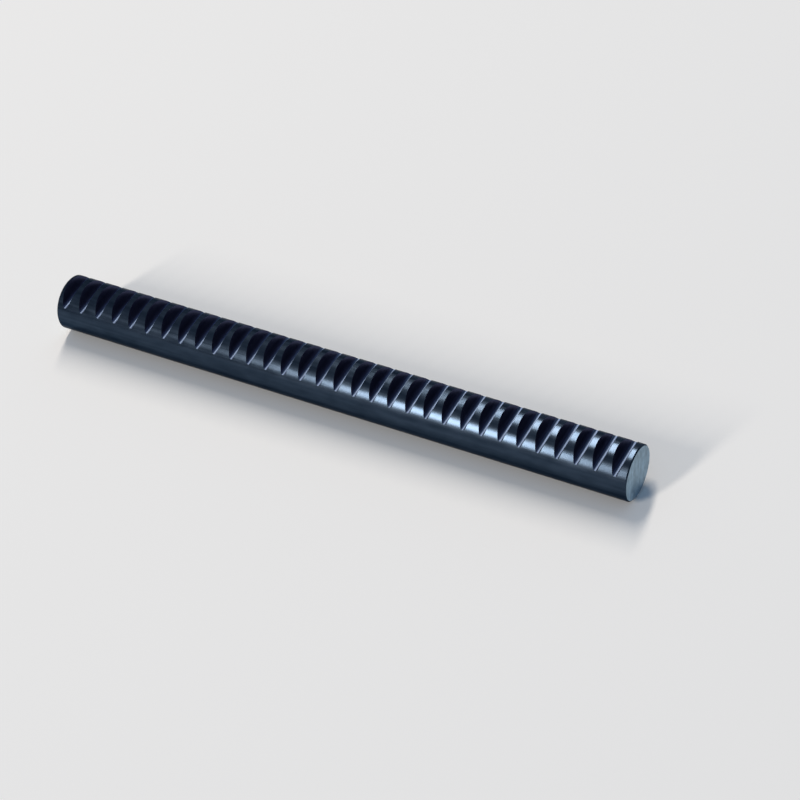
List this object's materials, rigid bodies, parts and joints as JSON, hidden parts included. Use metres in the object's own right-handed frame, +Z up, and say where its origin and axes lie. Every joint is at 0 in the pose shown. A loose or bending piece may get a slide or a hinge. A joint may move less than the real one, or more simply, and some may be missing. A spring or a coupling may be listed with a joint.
{
  "type": "round gear rack",
  "caption": "Round steel bar with straight spur rack teeth cut across its top from end to end and a small chamfer round each end face.",
  "frame": {"origin": "on the floor under the middle of the bar's length and width", "axes": "+X along the bar, +Z up through the tooth crests, Y across the teeth"},
  "size_m": [0.505, 0.045, 0.045],
  "materials": {
    "black_oxide_steel": "black oxide on cold-drawn bar, machined teeth, semi-gloss with fine lengthwise drawing marks, sawn end faces greyer"
  },
  "bodies": {
    "root": {"round_rack": "black_oxide_steel"}
  },
  "joints": []
}
